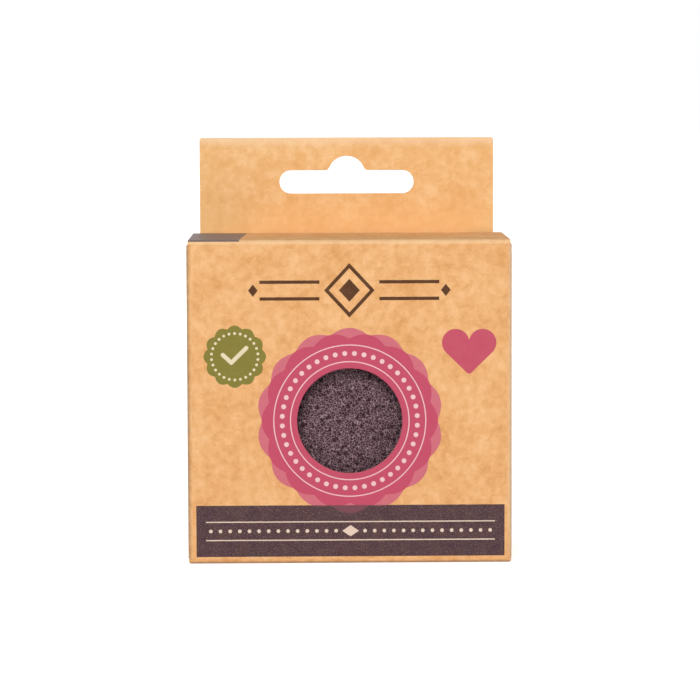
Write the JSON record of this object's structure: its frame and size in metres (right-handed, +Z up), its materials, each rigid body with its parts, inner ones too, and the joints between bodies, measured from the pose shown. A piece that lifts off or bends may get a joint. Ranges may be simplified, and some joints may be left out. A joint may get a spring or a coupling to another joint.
{
  "type": "boxed konjac sponge",
  "caption": "Kraft paperboard carton with a hang tab, a round window and tuck-in ends, holding a dark half-ball konjac sponge that lifts out as the lid opens.",
  "frame": {"origin": "middle of the carton's footprint, on the surface that it stands on", "axes": "+Z up towards the hang tab, -Y the front panel with the window, +X to the right seen from the front"},
  "size_m": [0.074, 0.035, 0.097],
  "materials": {
    "kraft_board": "matte",
    "kraft_inner": "matte",
    "sponge": "matte"
  },
  "bodies": {
    "carton": {"front_panel": "kraft_board", "right_side_panel": "kraft_board", "left_side_panel": "kraft_board", "back_panel": "kraft_board", "hang_tab": "kraft_board", "glue_flap": "kraft_inner"},
    "lid": {"lid": "kraft_board"},
    "lid_tuck_flap": {"lid_tuck_flap": "kraft_inner"},
    "top_right_dust_flap": {"top_right_dust_flap": "kraft_inner"},
    "top_left_dust_flap": {"top_left_dust_flap": "kraft_inner"},
    "bottom_panel": {"bottom_panel": "kraft_board"},
    "bottom_tuck_flap": {"bottom_tuck_flap": "kraft_inner"},
    "bottom_right_dust_flap": {"bottom_right_dust_flap": "kraft_inner"},
    "bottom_left_dust_flap": {"bottom_left_dust_flap": "kraft_inner"},
    "sponge": {"sponge": "sponge"}
  },
  "joints": [
    {"name": "sponge_lift", "type": "slide", "parent": "carton", "child": "sponge", "axis": [0, 0, 1], "range_m": [0, 0.076]},
    {"name": "lid_hinge", "type": "hinge", "parent": "carton", "child": "lid", "pos_m": [0, -0.0175, 0.0729], "axis": [1, 0, 0], "range_deg": [0, 170]},
    {"name": "lid_tuck_hinge", "type": "hinge", "parent": "lid", "child": "lid_tuck_flap", "pos_m": [0, 0.01505, 0.07355], "axis": [-1, 0, 0], "range_deg": [0, 42.5]},
    {"name": "top_right_dust_hinge", "type": "hinge", "parent": "carton", "child": "top_right_dust_flap", "pos_m": [0.037, 0, 0.07225], "axis": [0, 1, 0], "range_deg": [0, 127.5]},
    {"name": "top_left_dust_hinge", "type": "hinge", "parent": "carton", "child": "top_left_dust_flap", "pos_m": [-0.037, 0, 0.07225], "axis": [0, -1, 0], "range_deg": [0, 127.5]},
    {"name": "bottom_hinge", "type": "hinge", "parent": "carton", "child": "bottom_panel", "pos_m": [0, -0.0175, 0.0011], "axis": [-1, 0, 0], "range_deg": [0, 170]},
    {"name": "bottom_tuck_hinge", "type": "hinge", "parent": "bottom_panel", "child": "bottom_tuck_flap", "pos_m": [0, 0.01505, 0.00045], "axis": [1, 0, 0], "range_deg": [0, 42.5]},
    {"name": "bottom_right_dust_hinge", "type": "hinge", "parent": "carton", "child": "bottom_right_dust_flap", "pos_m": [0.037, 0, 0.00175], "axis": [0, -1, 0], "range_deg": [0, 127.5]},
    {"name": "bottom_left_dust_hinge", "type": "hinge", "parent": "carton", "child": "bottom_left_dust_flap", "pos_m": [-0.037, 0, 0.00175], "axis": [0, 1, 0], "range_deg": [0, 127.5]}
  ],
  "couplings": [
    {"joint": "lid_hinge", "follows": "sponge_lift", "rad_per_m": 39.04},
    {"joint": "lid_tuck_hinge", "follows": "sponge_lift", "rad_per_m": 9.76},
    {"joint": "top_right_dust_hinge", "follows": "sponge_lift", "rad_per_m": 29.28},
    {"joint": "top_left_dust_hinge", "follows": "sponge_lift", "rad_per_m": 29.28},
    {"joint": "bottom_tuck_hinge", "follows": "bottom_hinge", "ratio": 0.25},
    {"joint": "bottom_right_dust_hinge", "follows": "bottom_hinge", "ratio": 0.75},
    {"joint": "bottom_left_dust_hinge", "follows": "bottom_hinge", "ratio": 0.75}
  ]
}
